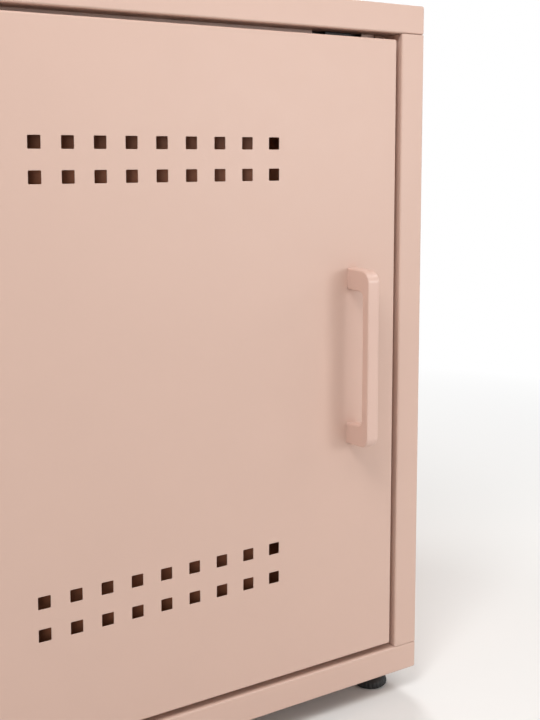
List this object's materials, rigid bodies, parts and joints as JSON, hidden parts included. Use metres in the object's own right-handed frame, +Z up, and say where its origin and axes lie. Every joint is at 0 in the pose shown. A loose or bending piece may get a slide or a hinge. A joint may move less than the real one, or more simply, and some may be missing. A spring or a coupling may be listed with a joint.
{
  "type": "locker cabinet",
  "caption": "Free-standing steel locker cabinet with one flush perforated door on pivot pins, a bow handle, a shelf and levelling feet.",
  "frame": {"origin": "centre of the bounding box's bottom face, on the floor", "axes": "+Z up, the door faces -Y, +X to the right seen from the front"},
  "size_m": [0.49, 0.429, 0.6],
  "materials": {
    "blush_powder_coat": "satin powder coat with a fine texture",
    "handle_coat": "smooth satin powder coat on cast metal",
    "zinc_plate": "bright zinc plate",
    "spring_steel": "drawn wire",
    "nylon": "moulded, satin",
    "black_plastic": "moulded, fine grain",
    "rubber": "soft, matt",
    "magnet": "dark ferrite between plain steel poles"
  },
  "bodies": {
    "casing": {"back_panel": "blush_powder_coat", "back_screw_lower_left": "zinc_plate", "back_screw_lower_right": "zinc_plate", "back_screw_upper_left": "zinc_plate", "back_screw_upper_right": "zinc_plate", "base_bolt_front_left": "zinc_plate", "base_bolt_front_right": "zinc_plate", "base_bolt_rear_left": "zinc_plate", "base_bolt_rear_right": "zinc_plate", "base_pan": "blush_powder_coat", "cap_bolt_front_left": "zinc_plate", "cap_bolt_front_right": "zinc_plate", "cap_bolt_rear_left": "zinc_plate", "cap_bolt_rear_right": "zinc_plate", "catch_case": "black_plastic", "catch_magnet": "magnet", "catch_screw_left": "zinc_plate", "catch_screw_right": "zinc_plate", "door_bumper_lower": "rubber", "door_bumper_upper": "rubber", "foot_nut_front_left": "zinc_plate", "foot_nut_front_right": "zinc_plate", "foot_nut_rear_left": "zinc_plate", "foot_nut_rear_right": "zinc_plate", "hinge_bush_lower": "nylon", "hinge_bush_upper": "nylon", "shelf_clip_front_left": "zinc_plate", "shelf_clip_front_right": "zinc_plate", "shelf_clip_rear_left": "zinc_plate", "shelf_clip_rear_right": "zinc_plate", "shelf_rail_front_left": "blush_powder_coat", "shelf_rail_front_right": "blush_powder_coat", "shelf_rail_rear_left": "blush_powder_coat", "shelf_rail_rear_right": "blush_powder_coat", "side_panel_left": "blush_powder_coat", "side_panel_right": "blush_powder_coat", "top_cap": "blush_powder_coat"},
    "door": {"door_skin": "blush_powder_coat", "door_liner": "blush_powder_coat", "door_stiffener": "blush_powder_coat", "hinge_bracket_upper": "zinc_plate", "hinge_bracket_lower": "zinc_plate", "hinge_pin_lower": "zinc_plate", "hinge_spring": "spring_steel", "strike_plate": "zinc_plate", "strike_rivet": "zinc_plate", "handle": "handle_coat", "handle_screw_upper": "zinc_plate", "handle_screw_lower": "zinc_plate", "access_plug_upper": "nylon", "access_plug_lower": "nylon"},
    "release_pin": {"hinge_pin_upper": "zinc_plate"},
    "shelf": {"shelf": "blush_powder_coat"},
    "foot_front_left": {"levelling_foot_front_left": "black_plastic"},
    "foot_front_right": {"levelling_foot_front_right": "black_plastic"},
    "foot_rear_left": {"levelling_foot_rear_left": "black_plastic"},
    "foot_rear_right": {"levelling_foot_rear_right": "black_plastic"}
  },
  "joints": [
    {"name": "door_hinge", "type": "hinge", "parent": "casing", "child": "door", "pos_m": [-0.208, -0.1775, 0.311], "axis": [0, 0, -1], "range_deg": [0, 108]},
    {"name": "release_pin_slide", "type": "slide", "parent": "door", "child": "release_pin", "axis": [0, 0, -1], "range_m": [0, 0.0125], "stiffness_N_per_m": 400, "springref_m": -0.01, "deforming": ["hinge_spring"]},
    {"name": "shelf_lift", "type": "slide", "parent": "casing", "child": "shelf", "axis": [0, 0, 1], "range_m": [0, 0.012]},
    {"name": "foot_screw_front_left", "type": "slide", "parent": "casing", "child": "foot_front_left", "axis": [0, 0, -1], "range_m": [0, 0.01]},
    {"name": "foot_screw_front_right", "type": "slide", "parent": "casing", "child": "foot_front_right", "axis": [0, 0, -1], "range_m": [0, 0.01]},
    {"name": "foot_screw_rear_left", "type": "slide", "parent": "casing", "child": "foot_rear_left", "axis": [0, 0, -1], "range_m": [0, 0.01]},
    {"name": "foot_screw_rear_right", "type": "slide", "parent": "casing", "child": "foot_rear_right", "axis": [0, 0, -1], "range_m": [0, 0.01]}
  ]
}
